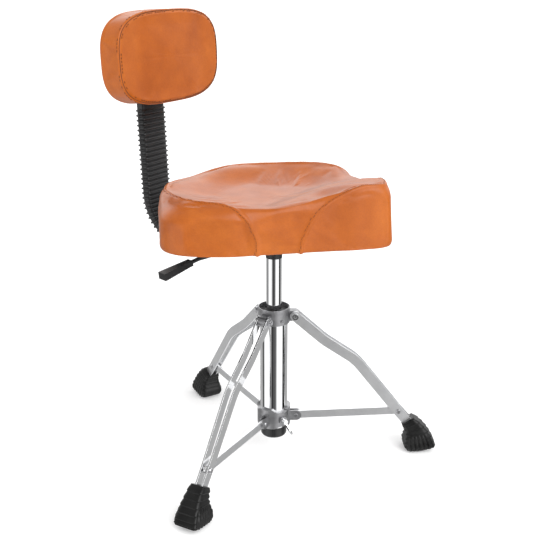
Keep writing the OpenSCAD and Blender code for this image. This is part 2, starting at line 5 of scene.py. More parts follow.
import bmesh
import bpy
import numpy as np
from mathutils import Matrix, Vector
from mathutils.bvhtree import BVHTree
from mathutils.kdtree import KDTree


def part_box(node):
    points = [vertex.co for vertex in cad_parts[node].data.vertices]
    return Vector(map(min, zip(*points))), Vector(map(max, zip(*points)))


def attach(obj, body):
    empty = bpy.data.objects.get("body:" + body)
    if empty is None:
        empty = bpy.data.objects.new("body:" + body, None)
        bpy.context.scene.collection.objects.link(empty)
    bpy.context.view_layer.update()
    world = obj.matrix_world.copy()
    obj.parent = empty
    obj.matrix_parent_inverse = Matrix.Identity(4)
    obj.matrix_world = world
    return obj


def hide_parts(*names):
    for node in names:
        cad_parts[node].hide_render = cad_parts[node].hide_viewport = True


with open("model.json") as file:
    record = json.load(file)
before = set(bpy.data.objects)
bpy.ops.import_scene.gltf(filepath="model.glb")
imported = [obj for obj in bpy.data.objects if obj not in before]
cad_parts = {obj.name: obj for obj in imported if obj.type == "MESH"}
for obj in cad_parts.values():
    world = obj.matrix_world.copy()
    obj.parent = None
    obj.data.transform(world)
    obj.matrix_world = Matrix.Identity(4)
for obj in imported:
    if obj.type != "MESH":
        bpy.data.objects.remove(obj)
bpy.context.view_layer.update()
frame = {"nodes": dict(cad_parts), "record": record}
record = frame["record"]
NODES = frame["nodes"]
BODY_OF = {n: b for b, names in record["behaviour"]["bodies"].items() for n in names}
SLOT = {s["node"]: s["material_slot"] for s in record["subparts"]}
scene = bpy.context.scene


# ---- materials ------------------------------------------------------------------------------

class Mat:
    """A procedural material: a small wrapper round a node tree."""

    def __init__(self, name, **sockets):
        self.m = bpy.data.materials.new(name)
        self.m.use_nodes = True
        self.t = self.m.node_tree
        self.bsdf = self.t.nodes["Principled BSDF"]
        for key, value in sockets.items():
            self.bsdf.inputs[key.replace("_", " ")].default_value = value
        coord = self.t.nodes.new("ShaderNodeTexCoord")
        self.pos = coord.outputs["Object"]

    def link(self, a, b):
        self.t.links.new(a, b)

    def noise(self, scale, detail=3.0, rough=0.55, stretch=None, distortion=0.0):
        n = self.t.nodes.new("ShaderNodeTexNoise")
        n.inputs["Scale"].default_value = scale
        n.inputs["Detail"].default_value = detail
        n.inputs["Roughness"].default_value = rough
        n.inputs["Distortion"].default_value = distortion
        self.link(self.mapped(stretch), n.inputs["Vector"])
        return n.outputs["Fac"]

    def voronoi(self, scale, feature="F1"):
        n = self.t.nodes.new("ShaderNodeTexVoronoi")
        n.feature = feature
        n.inputs["Scale"].default_value = scale
        self.link(self.pos, n.inputs["Vector"])
        return n.outputs["Distance"]

    def wave(self, scale, distortion=0.0, direction="X"):
        n = self.t.nodes.new("ShaderNodeTexWave")
        n.bands_direction = direction
        n.inputs["Scale"].default_value = scale
        n.inputs["Distortion"].default_value = distortion
        self.link(self.pos, n.inputs["Vector"])
        return n.outputs["Fac"]

    def mapped(self, stretch):
        if stretch is None:
            return self.pos
        m = self.t.nodes.new("ShaderNodeMapping")
        m.inputs["Scale"].default_value = stretch
        self.link(self.pos, m.inputs["Vector"])
        return m.outputs["Vector"]

    def ramp(self, fac, stops):
        """A colour ramp. Each stop is (position, colour)."""
        n = self.t.nodes.new("ShaderNodeValToRGB")
        while len(n.color_ramp.elements) < len(stops):
            n.color_ramp.elements.new(0.5)
        for e, (at, colour) in zip(n.color_ramp.elements, stops):
            e.position = at
            e.color = (*colour, 1)
        self.link(fac, n.inputs["Fac"])
        return n.outputs["Color"]

    def span(self, fac, low, high):
        """fac from 0 to 1 becomes low to high."""
        n = self.t.nodes.new("ShaderNodeMapRange")
        n.inputs["To Min"].default_value = low
        n.inputs["To Max"].default_value = high
        self.link(fac, n.inputs["Value"])
        return n.outputs["Result"]

    def mix(self, a, b, factor, mode="MIX"):
        n = self.t.nodes.new("ShaderNodeMix")
        n.data_type = "RGBA"
        n.blend_type = mode
        n.inputs["Factor"].default_value = factor
        first, second = n.inputs[6], n.inputs[7]
        self.link(a, first)
        self.link(b, second)
        return n.outputs[2]

    def bump(self, *layers):
        """Each layer is (height, distance in metres, strength)."""
        last = None
        for height, distance, strength in layers:
            n = self.t.nodes.new("ShaderNodeBump")
            n.inputs["Distance"].default_value = distance
            n.inputs["Strength"].default_value = strength
            self.link(height, n.inputs["Height"])
            if last is not None:
                self.link(last, n.inputs["Normal"])
            last = n.outputs["Normal"]
        self.link(last, self.bsdf.inputs["Normal"])

    def set(self, key, value):
        self.link(value, self.bsdf.inputs[key])


def chrome(name="chrome_plate", rough=(0.03, 0.07), tone=0.86):
    m = Mat(name, Metallic=1.0)
    m.set("Base Color", m.ramp(m.noise(38, 4), [
        (0.3, (tone * 0.95, tone * 0.955, tone * 0.97)),
        (0.7, (tone * 1.04, tone * 1.045, tone * 1.05))]))
    m.set("Roughness", m.span(m.noise(90, 5), *rough))
    m.bump((m.noise(14, 2), 0.0002, 0.04))
    return m.m


def cast_metal():
    m = Mat("cast_zinc", Metallic=1.0)
    m.set("Base Color", m.ramp(m.noise(60, 5), [(0.25, (0.30, 0.30, 0.31)), (0.75, (0.50, 0.50, 0.51))]))
    m.set("Roughness", m.span(m.noise(220, 4), 0.34, 0.55))
    m.bump((m.noise(900, 3), 0.00012, 0.45), (m.noise(120, 3), 0.0003, 0.25))
    return m.m


def zinc_plate():
    m = Mat("zinc_plated_steel", Metallic=1.0)
    m.set("Base Color", m.ramp(m.noise(150, 4), [(0.3, (0.48, 0.48, 0.49)), (0.7, (0.66, 0.66, 0.68))]))
    m.set("Roughness", m.span(m.noise(260, 4), 0.22, 0.4))
    m.bump((m.noise(1200, 2), 0.00005, 0.3))
    return m.m


def black_coat(name="black_powder_coat", rough=(0.38, 0.5), grain=1500, tone=0.018):
    m = Mat(name)
    m.set("Base Color", m.ramp(m.noise(55, 4), [
        (0.3, (tone * 0.7, tone * 0.7, tone * 0.75)),
        (0.75, (tone * 1.5, tone * 1.5, tone * 1.55))]))
    m.set("Roughness", m.span(m.noise(180, 3), *rough))
    m.bump((m.voronoi(grain), 0.00008, 0.4), (m.noise(60, 2), 0.0002, 0.1))
    return m.m


def rubber():
    m = Mat("black_rubber", Specular_IOR_Level=0.32)
    m.set("Base Color", m.ramp(m.noise(45, 5), [
        (0.35, (0.004, 0.004, 0.004)), (0.8, (0.013, 0.013, 0.0125))]))
    m.set("Roughness", m.span(m.noise(160, 4), 0.28, 0.44))
    m.bump((m.noise(1400, 2), 0.00008, 0.5), (m.noise(90, 3), 0.0002, 0.15))
    return m.m


def grey_bush():
    m = Mat("grey_nylon")
    m.set("Base Color", m.ramp(m.noise(120, 4), [(0.3, (0.07, 0.07, 0.072)), (0.7, (0.12, 0.12, 0.122))]))
    m.set("Roughness", m.span(m.noise(240, 3), 0.4, 0.55))
    m.bump((m.wave(260, distortion=1.5), 0.00003, 0.3))
    return m.m


def leather():
    m = Mat("tan_faux_leather", Specular_IOR_Level=0.42, Coat_Weight=0.04, Coat_Roughness=0.30)
    cloud = m.noise(9, 5, 0.6, distortion=0.4)
    base = m.ramp(cloud, [(0.28, (0.375, 0.080, 0.0032)), (0.5, (0.445, 0.102, 0.0045)),
                          (0.74, (0.515, 0.132, 0.0090))])
    smudge = m.ramp(m.noise(34, 6, 0.65), [(0.3, (0.88, 0.85, 0.80)), (0.62, (1.0, 1.0, 1.0))])
    tinted = m.mix(base, smudge, 1.0, "MULTIPLY")
    pores = m.ramp(m.noise(420, 3, 0.6), [(0.3, (0.88, 0.86, 0.84)), (0.6, (1, 1, 1))])
    m.set("Base Color", m.mix(tinted, pores, 0.8, "MULTIPLY"))
    m.set("Roughness", m.span(m.noise(28, 5), 0.32, 0.46))
    m.bump((m.voronoi(760), 0.00010, 0.45), (m.voronoi(260, "SMOOTH_F1"), 0.00018, 0.28),
           (m.noise(24, 4), 0.0010, 0.12))
    return m.m


def thread_and_seam_shade():
    m = Mat("seam_thread_and_shade")
    m.set("Base Color", m.ramp(m.noise(900, 2), [(0.3, (0.07, 0.016, 0.004)), (0.7, (0.16, 0.042, 0.010))]))
    m.set("Roughness", m.span(m.noise(500, 2), 0.55, 0.75))
    m.bump((m.wave(1800, direction="DIAGONAL"), 0.0001, 0.5))
    return m.m


def plywood():
    m = Mat("birch_plywood")
    grain = m.noise(22, 6, 0.6, stretch=(1, 9, 1), distortion=0.6)
    plies = m.ramp(m.wave(150, direction="Z"), [(0.4, (0.62, 0.5, 0.34)), (0.6, (0.42, 0.3, 0.18))])
    face = m.ramp(grain, [(0.3, (0.50, 0.37, 0.22)), (0.7, (0.68, 0.54, 0.36))])
    m.set("Base Color", m.mix(face, plies, 0.35))
    m.set("Roughness", m.span(grain, 0.55, 0.75))
    m.bump((grain, 0.0003, 0.3))
    return m.m


def dust_cloth():
    m = Mat("black_nonwoven_cloth", Sheen_Weight=0.25)
    weave = m.wave(420, direction="X")
    cross = m.wave(420, direction="Y")
    woven = m.mix(weave, cross, 0.5)
    m.set("Base Color", m.ramp(woven, [(0.3, (0.008, 0.008, 0.008)), (0.7, (0.03, 0.03, 0.03))]))
    m.set("Roughness", m.span(m.noise(200, 3), 0.8, 0.95))
    m.bump((weave, 0.0002, 0.4), (cross, 0.0002, 0.4))
    return m.m


def pale_floor():
    m = Mat("pale_floor", Specular_IOR_Level=0.0, Emission_Color=(1, 1, 1, 1), Emission_Strength=0.22)
    m.set("Base Color", m.ramp(m.noise(3, 3), [(0.3, (0.87, 0.87, 0.87)), (0.7, (0.89, 0.89, 0.89))]))
    m.set("Roughness", m.span(m.noise(20, 2), 0.7, 0.85))
    return m.m


MAT = {
    "chrome": chrome(), "zinc": cast_metal(), "steel": zinc_plate(), "black_steel": black_coat(),
    "black_plastic": black_coat("black_plastic", (0.26, 0.38), 1100, 0.013), "bush": grey_bush(),
    "rubber": rubber(), "skin": leather(), "wood": plywood(), "cloth": dust_cloth(),
}
# thread colour, also given to the dark tube that paints the shade along the back's seam
THREAD_AND_SEAM_SHADE = thread_and_seam_shade()
# a rougher, brighter copy of the chrome for the stays and the two rear legs' strips; on those legs it is
# painted light, their lighter look under the light
SATIN_AND_LIT_COPY = chrome("satin_steel_and_lit_copy", (0.34, 0.46), 0.93)
for name, node in NODES.items():
    node.data.materials.clear()
    node.data.materials.append(MAT[SLOT[name]])
NODES["collar_set_screws"].data.materials[0] = MAT["zinc"]


# ---- mesh helpers ---------------------------------------------------------------------------

def add_mesh(name, verts, faces, material, smooth=True):
    me = bpy.data.meshes.new(name)
    me.from_pydata([tuple(map(float, v)) for v in verts], [], faces)
    me.validate()
    me.update()
    o = bpy.data.objects.new(name, me)
    scene.collection.objects.link(o)
    me.materials.append(material)
    if smooth:
        me.shade_smooth()
    return o


def loft(name, rings, material):
    """A closed skin over rings of points, an array of (rings, around, 3)."""
    rings = np.asarray(rings, float)
    m, n = rings.shape[:2]
    faces = [(k * n + i, k * n + (i + 1) % n, (k + 1) * n + (i + 1) % n, (k + 1) * n + i)
             for k in range(m - 1) for i in range(n)]
    faces.append(tuple(range(n - 1, -1, -1)))
    faces.append(tuple((m - 1) * n + i for i in range(n)))
    return add_mesh(name, rings.reshape(-1, 3), faces, material)


def place(o, body, slot_name, *nodes):
    """The piece rides its body, and stands in for the CAD nodes that are named."""
    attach(o, body)
    if nodes:
        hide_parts(*nodes)
    return o


def lengths_along(p):
    """Distance from the first point to each point of a polyline."""
    return np.concatenate([[0], np.cumsum(np.linalg.norm(np.diff(p, axis=0), axis=1))])


def superellipse(t, squareness):
    """The two coordinates, in -1..1, of a rounded square at the angles t."""
    c, s = np.cos(t), np.sin(t)
    power = 2 / squareness
    return np.sign(c) * np.abs(c) ** power, np.sign(s) * np.abs(s) ** power


# ---- metal parts: the CAD shape with softened edges -----------------------------------------

# points nearer than this are welded, flatter edges are dissolved, sharper ones softened (degrees)
WELD, FLAT_ANGLE, EDGE_ANGLE = 2e-6, 0.6, 28
# width of the softened edge, and its segments
SOFTENED = {
    "upper_collar": (0.0012, 3), "lower_collar": (0.0012, 3), "wing_screw": (0.0008, 2),
    "seat_plate": (0.0015, 3), "back_bar": (0.0012, 2), "leg_pivot_bolts": (0.0005, 2),
    "column_end_cap": (0.0012, 3), "column_tube": (0.0008, 2), "lever_handle": (0.0016, 3),
}
STRIP_EDGE = 0.0008
# the leg whose strips keep the polished chrome; the other legs get the lighter copy, painted light
FRONT_LEG = "a"


def refine(node, width, segments=2):
    """The CAD node's own shape with softened edges, so that its edges catch the light."""
    bm = bmesh.new()
    bm.from_mesh(NODES[node].data)
    bmesh.ops.remove_doubles(bm, verts=bm.verts, dist=WELD)
    bmesh.ops.dissolve_limit(bm, angle_limit=math.radians(FLAT_ANGLE), verts=bm.verts, edges=bm.edges)
    bm.verts.ensure_lookup_table()
    verts = [v.co.copy() for v in bm.verts]
    faces = [[v.index for v in f.verts] for f in bm.faces]
    bm.free()
    o = add_mesh(node + "_finished", verts, faces, MAT[SLOT[node]])
    b = o.modifiers.new("soft_edges", "BEVEL")
    b.width = width
    b.segments = segments
    b.limit_method = "ANGLE"
    b.angle_limit = math.radians(EDGE_ANGLE)
    b.harden_normals = True
    return place(o, BODY_OF[node], SLOT[node], node)


for leg in "abc":
    for side in ("left", "right"):
        strip = refine(f"leg_{leg}_strip_{side}", STRIP_EDGE)
        # painted light: the legs other than the front one get the lighter, rougher copy, though the three
        # legs are alike
        if leg != FRONT_LEG:
            strip.data.materials[0] = SATIN_AND_LIT_COPY
    refine(f"stay_{leg}", STRIP_EDGE).data.materials[0] = SATIN_AND_LIT_COPY
for node, (width, segments) in SOFTENED.items():
    refine(node, width, segments)


# ---- boots ----------------------------------------------------------------------------------

STAND_TURN = math.radians(64.3)
# from the sole to the mouth: inner radius, outer radius, height at each, half width
BOOT = np.array([
    [0.2600, 0.2960, 0.0010, 0.0075, 0.0175],
    [0.2540, 0.3005, 0.0025, 0.0095, 0.0225],
    [0.2492, 0.3022, 0.0085, 0.0140, 0.0238],
    [0.2478, 0.2992, 0.0180, 0.0230, 0.0226],
    [0.2502, 0.2925, 0.0280, 0.0350, 0.0194],
    [0.2508, 0.2845, 0.0380, 0.0465, 0.0166],
    [0.2470, 0.2750, 0.0462, 0.0568, 0.0148],
    [0.2415, 0.2630, 0.0538, 0.0668, 0.0134],
])
# points round a boot, points that they are spaced from, squareness of the section
BOOT_AROUND, SECTION_POINTS, BOOT_SQUARE = 168, 6001, 6.5
# shares of the way from the sole to the mouth: the plain foot, and where the steps stop
FOOT_SHARE, LAST_STEP = 0.14, 0.97
# rows of the foot, steps, rows of a step, how far it stands out, the share of it that rises
FOOT_ROWS, STEPS, STEP_ROWS, STEP_OUT, STEP_RISE = 6, 7, 9, 0.0030, 0.15
# flank ribs: depth, turns across the flank, steepness, and the band of heights that they fill
RIB_DEPTH, RIB_TURNS, RIB_STEEP, RIB_MID, RIB_BAND = 0.0016, 20.5, 2.2, 0.34, 0.26
# share of the half length where the flank turns into toe and heel, how soft the turn is,
# share of the half width from which ribs show, and how far steps stand out on the flanks
CORNER_AT, CORNER_SOFT, FLANK_AT, FLANK_STEP = 0.86, 0.12, 0.9, 0.7
# how far the sole's middle hangs below the line from heel to toe
ROCKER = 0.003


def even_section():
    """A superellipse with its points spaced evenly round it, in -1..1."""
    p = np.stack(superellipse(np.linspace(0, 2 * np.pi, SECTION_POINTS), BOOT_SQUARE), 1)
    run = lengths_along(p)
    at = np.arange(BOOT_AROUND) / BOOT_AROUND * run[-1]
    return np.interp(at, run, p[:, 0]), np.interp(at, run, p[:, 1])


def step_out(t):
    """How far the shingled steps stand out at t, the share of the way from sole to mouth."""
    if not FOOT_SHARE < t <= LAST_STEP:
        return 0.0
    share = (t - FOOT_SHARE) / (1 - FOOT_SHARE) * STEPS % 1.0
    return STEP_OUT * (share / STEP_RISE if share < STEP_RISE else 1 - (share - STEP_RISE) / (1 - STEP_RISE))


def boot_mesh(name, azimuth):
    t_key = np.linspace(0, 1, len(BOOT))
    steps = np.linspace(FOOT_SHARE, 1, STEPS * STEP_ROWS + 1)[1:]
    x, y = even_section()
    # 0 on the flanks, 1 on toe and heel
    end = np.clip((np.abs(x) - CORNER_AT) / CORNER_SOFT, 0, 1)
    ribs = RIB_DEPTH * (1 - end) * np.clip(np.sin(x * RIB_TURNS) * RIB_STEEP, -1, 1)
    ribs = np.sign(y) * np.where(np.abs(y) > FLANK_AT, ribs, 0)
    rings = []
    for t in np.concatenate([np.linspace(0, FOOT_SHARE, FOOT_ROWS), steps]):
        inner, outer, z_in, z_out, half_width = [np.interp(t, t_key, column) for column in BOOT.T]
        # steps on toe, heel and upper flanks, upright ribs low on the flanks
        lip = step_out(t)
        low = np.clip(1 - abs(t - RIB_MID) / RIB_BAND, 0, 1) ** 0.5
        stepped = np.maximum(end, 1 - low)
        r = (inner + outer) / 2 + x * ((outer - inner) / 2 + lip * end)
        q = y * (half_width + lip * stepped * FLANK_STEP) + low * ribs
        rocker = ROCKER * max(0.0, 1 - t / FOOT_SHARE)
        z = z_in + (z_out - z_in) * (x + 1) / 2 - rocker * (1 - x * x)
        rings.append(np.stack([r * math.cos(azimuth) - q * math.sin(azimuth),
                               r * math.sin(azimuth) + q * math.cos(azimuth), z], 1))
    return loft(name, rings, MAT["rubber"])


for k, leg in enumerate("abc"):
    boot = boot_mesh(f"boot_{leg}", STAND_TURN - math.radians(240 - 120 * k))
    place(boot, f"leg_{leg}", "rubber", f"foot_{leg}")


# ---- bellows sleeve -------------------------------------------------------------------------

# the bar: level at BAR_Z, then an arc round (ARC_Y, ARC_Z), then up with a slight lean backwards
ARC_Y, ARC_Z, BEND_R, LEAN = 0.184, 0.468, 0.080, math.radians(2)
BAR_Z = 0.388
SWEEP = math.pi / 2 - LEAN
# where the sleeve starts, its length above the bend, and its plain upper cuff
SLEEVE_Y0, SLEEVE_TOP, CUFF = 0.082, 0.186, 0.020
# the sleeve between its ribs: width, thickness, corner radius; height of a rib, and their spacing
CORE_W, CORE_T, CORE_CORNER, RIB_OUT, PITCH = 0.060, 0.017, 0.0045, 0.003, 0.00895
# one rib: share of the pitch, share of the rib's height
RIB = [(0.0, 0.0), (0.28, 0.02), (0.36, 0.35), (0.42, 0.80), (0.50, 1.0), (0.58, 1.0),
       (0.66, 0.80), (0.72, 0.35), (0.80, 0.02)]
# the last ring: its length, and how far it draws in, in rib heights
END_LENGTH, END_SINK = 0.0008, -0.25


def course(s):
    """Point and heading (behind, up) on the bar's centre line, s metres from the sleeve's start."""
    flat = ARC_Y - SLEEVE_Y0
    arc = BEND_R * SWEEP
    if s < flat:
        return (SLEEVE_Y0 + s, BAR_Z), (1.0, 0.0)
    if s < flat + arc:
        a = (s - flat) / BEND_R
        return (ARC_Y + BEND_R * math.sin(a), ARC_Z - BEND_R * math.cos(a)), (math.cos(a), math.sin(a))
    h = s - flat - arc
    y = ARC_Y + BEND_R * math.cos(LEAN) + h * math.sin(LEAN)
    z = ARC_Z - BEND_R * math.sin(LEAN) + h * math.cos(LEAN)
    return (y, z), (math.sin(LEAN), math.cos(LEAN))


def rounded_rect(hx, hy, r, n=10):
    corners = ((hx - r, hy - r, 0), (r - hx, hy - r, 90), (r - hx, r - hy, 180), (hx - r, r - hy, 270))
    pts = []
    for cx, cy, a0 in corners:
        for i in range(n):
            a = math.radians(a0 + 90 * i / (n - 1))
            pts.append((cx + r * math.cos(a), cy + r * math.sin(a)))
    return np.array(pts)


def bellows():
    total = (ARC_Y - SLEEVE_Y0) + BEND_R * SWEEP + SLEEVE_TOP
    count = int((total - CUFF) / PITCH)
    stations = [((k + share) * PITCH, out) for k in range(count) for share, out in RIB]
    stations += [(count * PITCH, 0.0), (total - END_LENGTH, 0.0), (total, END_SINK)]
    rings = []
    for s, out in stations:
        (y, z), (ty, tz) = course(s)
        e = out * RIB_OUT
        section = rounded_rect(CORE_W / 2 + e, CORE_T / 2 + e, CORE_CORNER + e)
        # the section's second axis points out of the bend
        rings.append([(px, y + py * tz, z - py * ty) for px, py in section])
    return loft("bellows_sleeve", rings, MAT["black_plastic"])


place(bellows(), "seat", "black_plastic", "bar_sleeve")


# ---- soft goods: structured grids, swelled by Cloth, then seams and stitching ----------------

# points round a cover, step along a seat seam, points that its curve is drawn from, step of a groove
GRID_AROUND, SEAM_STEP, SEAM_POINTS, GROOVE_STEP = 200, 0.002, 160, 0.001
# Cloth: how near to a seam the cover is held, and within what distance it is gathered
SEAM_HOLD, SEAM_GATHER = 0.0042, 0.016
CLOTH_FRAMES, PRESSURE, GATHER_SHRINK = 18, 4.0, -0.05
# the dark tube in a groove, painted shade along the seam line: step, radius, lift off the cover; the thread:
# radius; sides of both
SHADE_TUBE_STEP, SHADE_TUBE_R, SHADE_TUBE_LIFT = 0.003, 0.0006, 0.0001
THREAD_R, TUBE_SIDES = 0.00055, 6
# one stitch: share of its length, lift off the cover
STITCH = ((-0.5, -0.0002), (-0.38, 0.0003), (0.0, 0.00045), (0.38, 0.0003), (0.5, -0.0002))


def spline(p, t, wrap):
    """Catmull-Rom values of the rows of p at the index positions t."""
    n = len(p)
    i = np.floor(t).astype(int)
    u = (t - i)[:, None, None]

    def pick(k):
        return p[np.mod(i + k, n)] if wrap else p[np.clip(i + k, 0, n - 1)]

    a, b, c, d = pick(-1), pick(0), pick(1), pick(2)
    return 0.5 * (2 * b + (c - a) * u + (2 * a - 5 * b + 4 * c - d) * u ** 2
                  + (3 * b - a - 3 * c + d) * u ** 3)


def upsample(grid, rows, cols):
    """A (rings, around, 3) grid with rows times as many rings and cols times as many points round."""
    m, n = grid.shape[:2]
    tall = spline(grid, np.linspace(0, m - 1, (m - 1) * rows + 1), False)
    wide = spline(tall.transpose(1, 0, 2), np.arange(n * cols) / cols, True)
    return wide.transpose(1, 0, 2)


class Surface:
    """A point on the grid at (position around in turns, position along the profile in rings)."""

    def __init__(self, grid, rings):
        self.grid, self.rings = grid, rings

    def at(self, turn, ring):
        m, n = self.grid.shape[:2]
        x = np.mod(np.asarray(turn), 1.0) * n
        y = np.clip(np.asarray(ring) / self.rings * (m - 1), 0, m - 1.001)
        i, j = np.floor(x).astype(int), np.floor(y).astype(int)
        u, v = (x - i)[:, None], (y - j)[:, None]

        def g(dj, di):
            return self.grid[np.clip(j + dj, 0, m - 1), np.mod(i + di, n)]

        return (g(0, 0) * (1 - u) + g(0, 1) * u) * (1 - v) + (g(1, 0) * (1 - u) + g(1, 1) * u) * v


def resample(points, step, closed):
    """Points of a polyline at an even step."""
    p = np.asarray(points)
    if closed:
        p = np.vstack([p, p[:1]])
    run = lengths_along(p)
    n = max(int(round(run[-1] / step)), 2)
    at = np.linspace(0, run[-1], n, endpoint=not closed)
    return np.stack([np.interp(at, run, p[:, k]) for k in range(3)], 1)


def tree_of(points):
    tree = KDTree(len(points))
    for k, p in enumerate(points):
        tree.insert(p, k)
    tree.balance()
    return tree


def add_cloth(o):
    """Cloth that is blown up from inside, held by one vertex group and gathered by another."""
    cloth = o.modifiers.new("cloth", "CLOTH")
    c = cloth.settings
    c.quality = 6
    c.mass = 0.3
    c.tension_stiffness = c.compression_stiffness = 14
    c.shear_stiffness = 8
    c.bending_stiffness = 0.35
    c.air_damping = 3
    c.use_pressure = True
    c.uniform_pressure_force = PRESSURE
    c.vertex_group_mass = "held"
    c.vertex_group_shrink = "gather"
    c.shrink_min = 0.0
    c.shrink_max = GATHER_SHRINK
    c.effector_weights.gravity = 0
    cloth.point_cache.frame_start, cloth.point_cache.frame_end = 1, CLOTH_FRAMES


def swell(name, grid, seam_points, held_rings, cap):
    """The grid after Cloth has blown up the panels between its pinned seams, by cap at the most."""
    m, n = grid.shape[:2]
    o = loft(name, grid, MAT["skin"])
    tree = tree_of(seam_points)
    held = o.vertex_groups.new(name="held")
    gather = o.vertex_groups.new(name="gather")
    for v in o.data.vertices:
        gap = tree.find(v.co)[2]
        if v.index < held_rings * n or gap < SEAM_HOLD:
            held.add([v.index], 1.0, "REPLACE")
        if gap < SEAM_GATHER:
            gather.add([v.index], (1 - gap / SEAM_GATHER) ** 0.5, "REPLACE")
    add_cloth(o)
    for f in range(1, CLOTH_FRAMES + 1):
        scene.frame_set(f)
    done = o.evaluated_get(bpy.context.evaluated_depsgraph_get())
    out = np.empty(m * n * 3)
    done.data.vertices.foreach_get("co", out)
    out = out.reshape(m, n, 3)
    scene.frame_set(1)
    bpy.data.objects.remove(o)
    move = out - grid
    size = np.linalg.norm(move, axis=2, keepdims=True)
    return grid + move * np.minimum(1.0, cap / np.maximum(size, 1e-9))


def groove(o, curves, width, depth):
    """Press a seam line into the mesh along the curves."""
    me = o.data
    tree = tree_of(np.vstack([resample(c, GROOVE_STEP, closed) for c, closed in curves]))
    normals = [v.normal.copy() for v in me.vertices]
    for v in me.vertices:
        gap = tree.find(v.co)[2]
        if gap < 3 * width:
            v.co -= normals[v.index] * depth * math.exp(-(gap / width) ** 2)
    me.update()


def tube_mesh(path, radius, closed):
    """Vertices and faces of a thin tube round a path."""
    p = np.asarray(path)
    n, sides = len(p), TUBE_SIDES
    t = np.roll(p, -1, 0) - np.roll(p, 1, 0) if closed else np.gradient(p, axis=0)
    t /= np.linalg.norm(t, axis=1, keepdims=True)
    up = np.where(np.abs(t[:, 2:]) > 0.9, [[1.0, 0, 0]], [[0, 0, 1.0]])
    a = np.cross(t, up)
    a /= np.linalg.norm(a, axis=1, keepdims=True)
    b = np.cross(t, a)
    ang = np.arange(sides) * 2 * np.pi / sides
    ring = np.cos(ang)[None, :, None] * a[:, None] + np.sin(ang)[None, :, None] * b[:, None]
    verts = (p[:, None] + radius * ring).reshape(-1, 3)
    faces = []
    for k in range(n if closed else n - 1):
        q = (k + 1) % n
        faces += [(k * sides + i, k * sides + (i + 1) % sides, q * sides + (i + 1) % sides, q * sides + i)
                  for i in range(sides)]
    if not closed:
        faces += [tuple(range(sides - 1, -1, -1)), tuple((n - 1) * sides + i for i in range(sides))]
    return verts, faces


def sew(name, cover, curves, row, pitch, length, shade_tube):
    """A row of stitches beside each seam, and a dark tube in its groove if it has one, as one piece; the
    tube is painted shade along the seam line.
    """
    tree = BVHTree.FromObject(cover, bpy.context.evaluated_depsgraph_get())
    verts, faces, base = [], [], 0

    def add(v, f):
        nonlocal base
        verts.append(v)
        faces.extend(tuple(i + base for i in face) for face in f)
        base += len(v)

    def on_cover(point):
        at, normal, _, _ = tree.find_nearest(Vector(point))
        return at, normal

    for pts, closed in curves:
        # painted shade: a dark thread-coloured tube laid in the groove where the seam's gap is shaded
        if shade_tube:
            sunk = [on_cover(p) for p in resample(pts, SHADE_TUBE_STEP, closed)]
            add(*tube_mesh([tuple(at + normal * SHADE_TUBE_LIFT) for at, normal in sunk], SHADE_TUBE_R, closed))
        line = resample(pts, pitch, closed)
        ahead = (np.roll(line, -1, 0) - np.roll(line, 1, 0)) if closed else np.gradient(line, axis=0)
        for p, d in zip(line, ahead):
            d = Vector(d).normalized()
            at, normal = on_cover(p)
            on, out = on_cover(at + d.cross(normal).normalized() * row)
            along = (d - out * d.dot(out)).normalized()
            stitch = [on + along * length * share + out * lift for share, lift in STITCH]
            add(*tube_mesh([tuple(q) for q in stitch], THREAD_R, False))
    return place(add_mesh(name, np.vstack(verts), faces, THREAD_AND_SEAM_SHADE), "seat", "cloth")


def smooth(t):
    t = np.clip(t, 0, 1)
    return t * t * (3 - 2 * t)


# ---- seat cushion ---------------------------------------------------------------------------

SEAT_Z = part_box("seat_cushion")[0].z
# the height of the dish's middle, and the room that is left for the swelling
DISH_H, SWELL_ROOM = 0.057, 0.0010
# the nose's flare at the bottom and its spread in degrees, the rounded bottom edge, the rounded top edge
FLARE, FLARE_SPREAD, FOOT, BEND = 0.005, 38, 0.010, 0.028
# stations of (degrees from the nose, metres): outline, height of the wall, how far its top rounds inwards
OUTLINE = [(0, .219), (12, .1965), (25, .174), (42, .164), (64, .173), (82, .201), (103, .234),
           (122, .2115), (142, .199), (180, .196)]
WALL = [(0, .106), (10, .105), (20, .095), (30, .086), (45, .077), (62, .074), (84, .080), (100, .078),
        (125, .074), (150, .076), (180, .070)]
SHOULDER = [(0, .024), (30, .011), (55, .008), (80, .032), (103, .054), (122, .036), (142, .024),
            (180, .034)]
# the dish: where round the seat the nose's slope starts to become a bolster, over how many degrees,
# the share of the radius where the bolster starts, and how near the last ring comes to the middle
BOLSTER_FROM, BOLSTER_OVER, BOLSTER_FOOT, DISH_REACH = 30, 40, 0.56, 0.985
# swells and hollows of the dish: height, degrees and their spread, radius and its spread
THIGH = (0.0080, 50, 19, 0.098, 0.036)
GROIN = (-0.0060, 22, 9, 0.138, 0.028)
# the underside: share of the outline, height
UNDER = [(0.9, 0.013), (0.9, 0.0), (0.94, 0.0), (0.973, 0.0), (0.988, 0.0010), (0.996, 0.0040), (1.0, FOOT)]
# profile rings: the underside, the wall, the shoulder and the dish
UNDER_N, WALL_N, SHOULDER_N, DISH_N = len(UNDER) - 1, 8, 9, 17
RINGS = UNDER_N + WALL_N + SHOULDER_N + DISH_N
# seams as (degrees from the nose, profile station), from the lower edge over the top
SIDE_SEAM = [(66, 0), (66, 1.1), (66, 1.41), (67.5, 1.79), (69, 2.09), (71, 2.31), (75, 2.57), (78, 2.71),
             (81, 2.79), (86, 2.9), (94, 2.95), (107, 3.0), (126, 2.87), (143, 2.68), (180, 2.6)]
NOSE_SEAM = [(42, 0), (42, 1.0), (41, 1.34), (39, 1.63), (37, 1.89), (35, 2.08), (32, 2.23), (29, 2.36),
             (25, 2.476), (20, 2.575), (14, 2.66), (7, 2.66), (0, 2.62)]
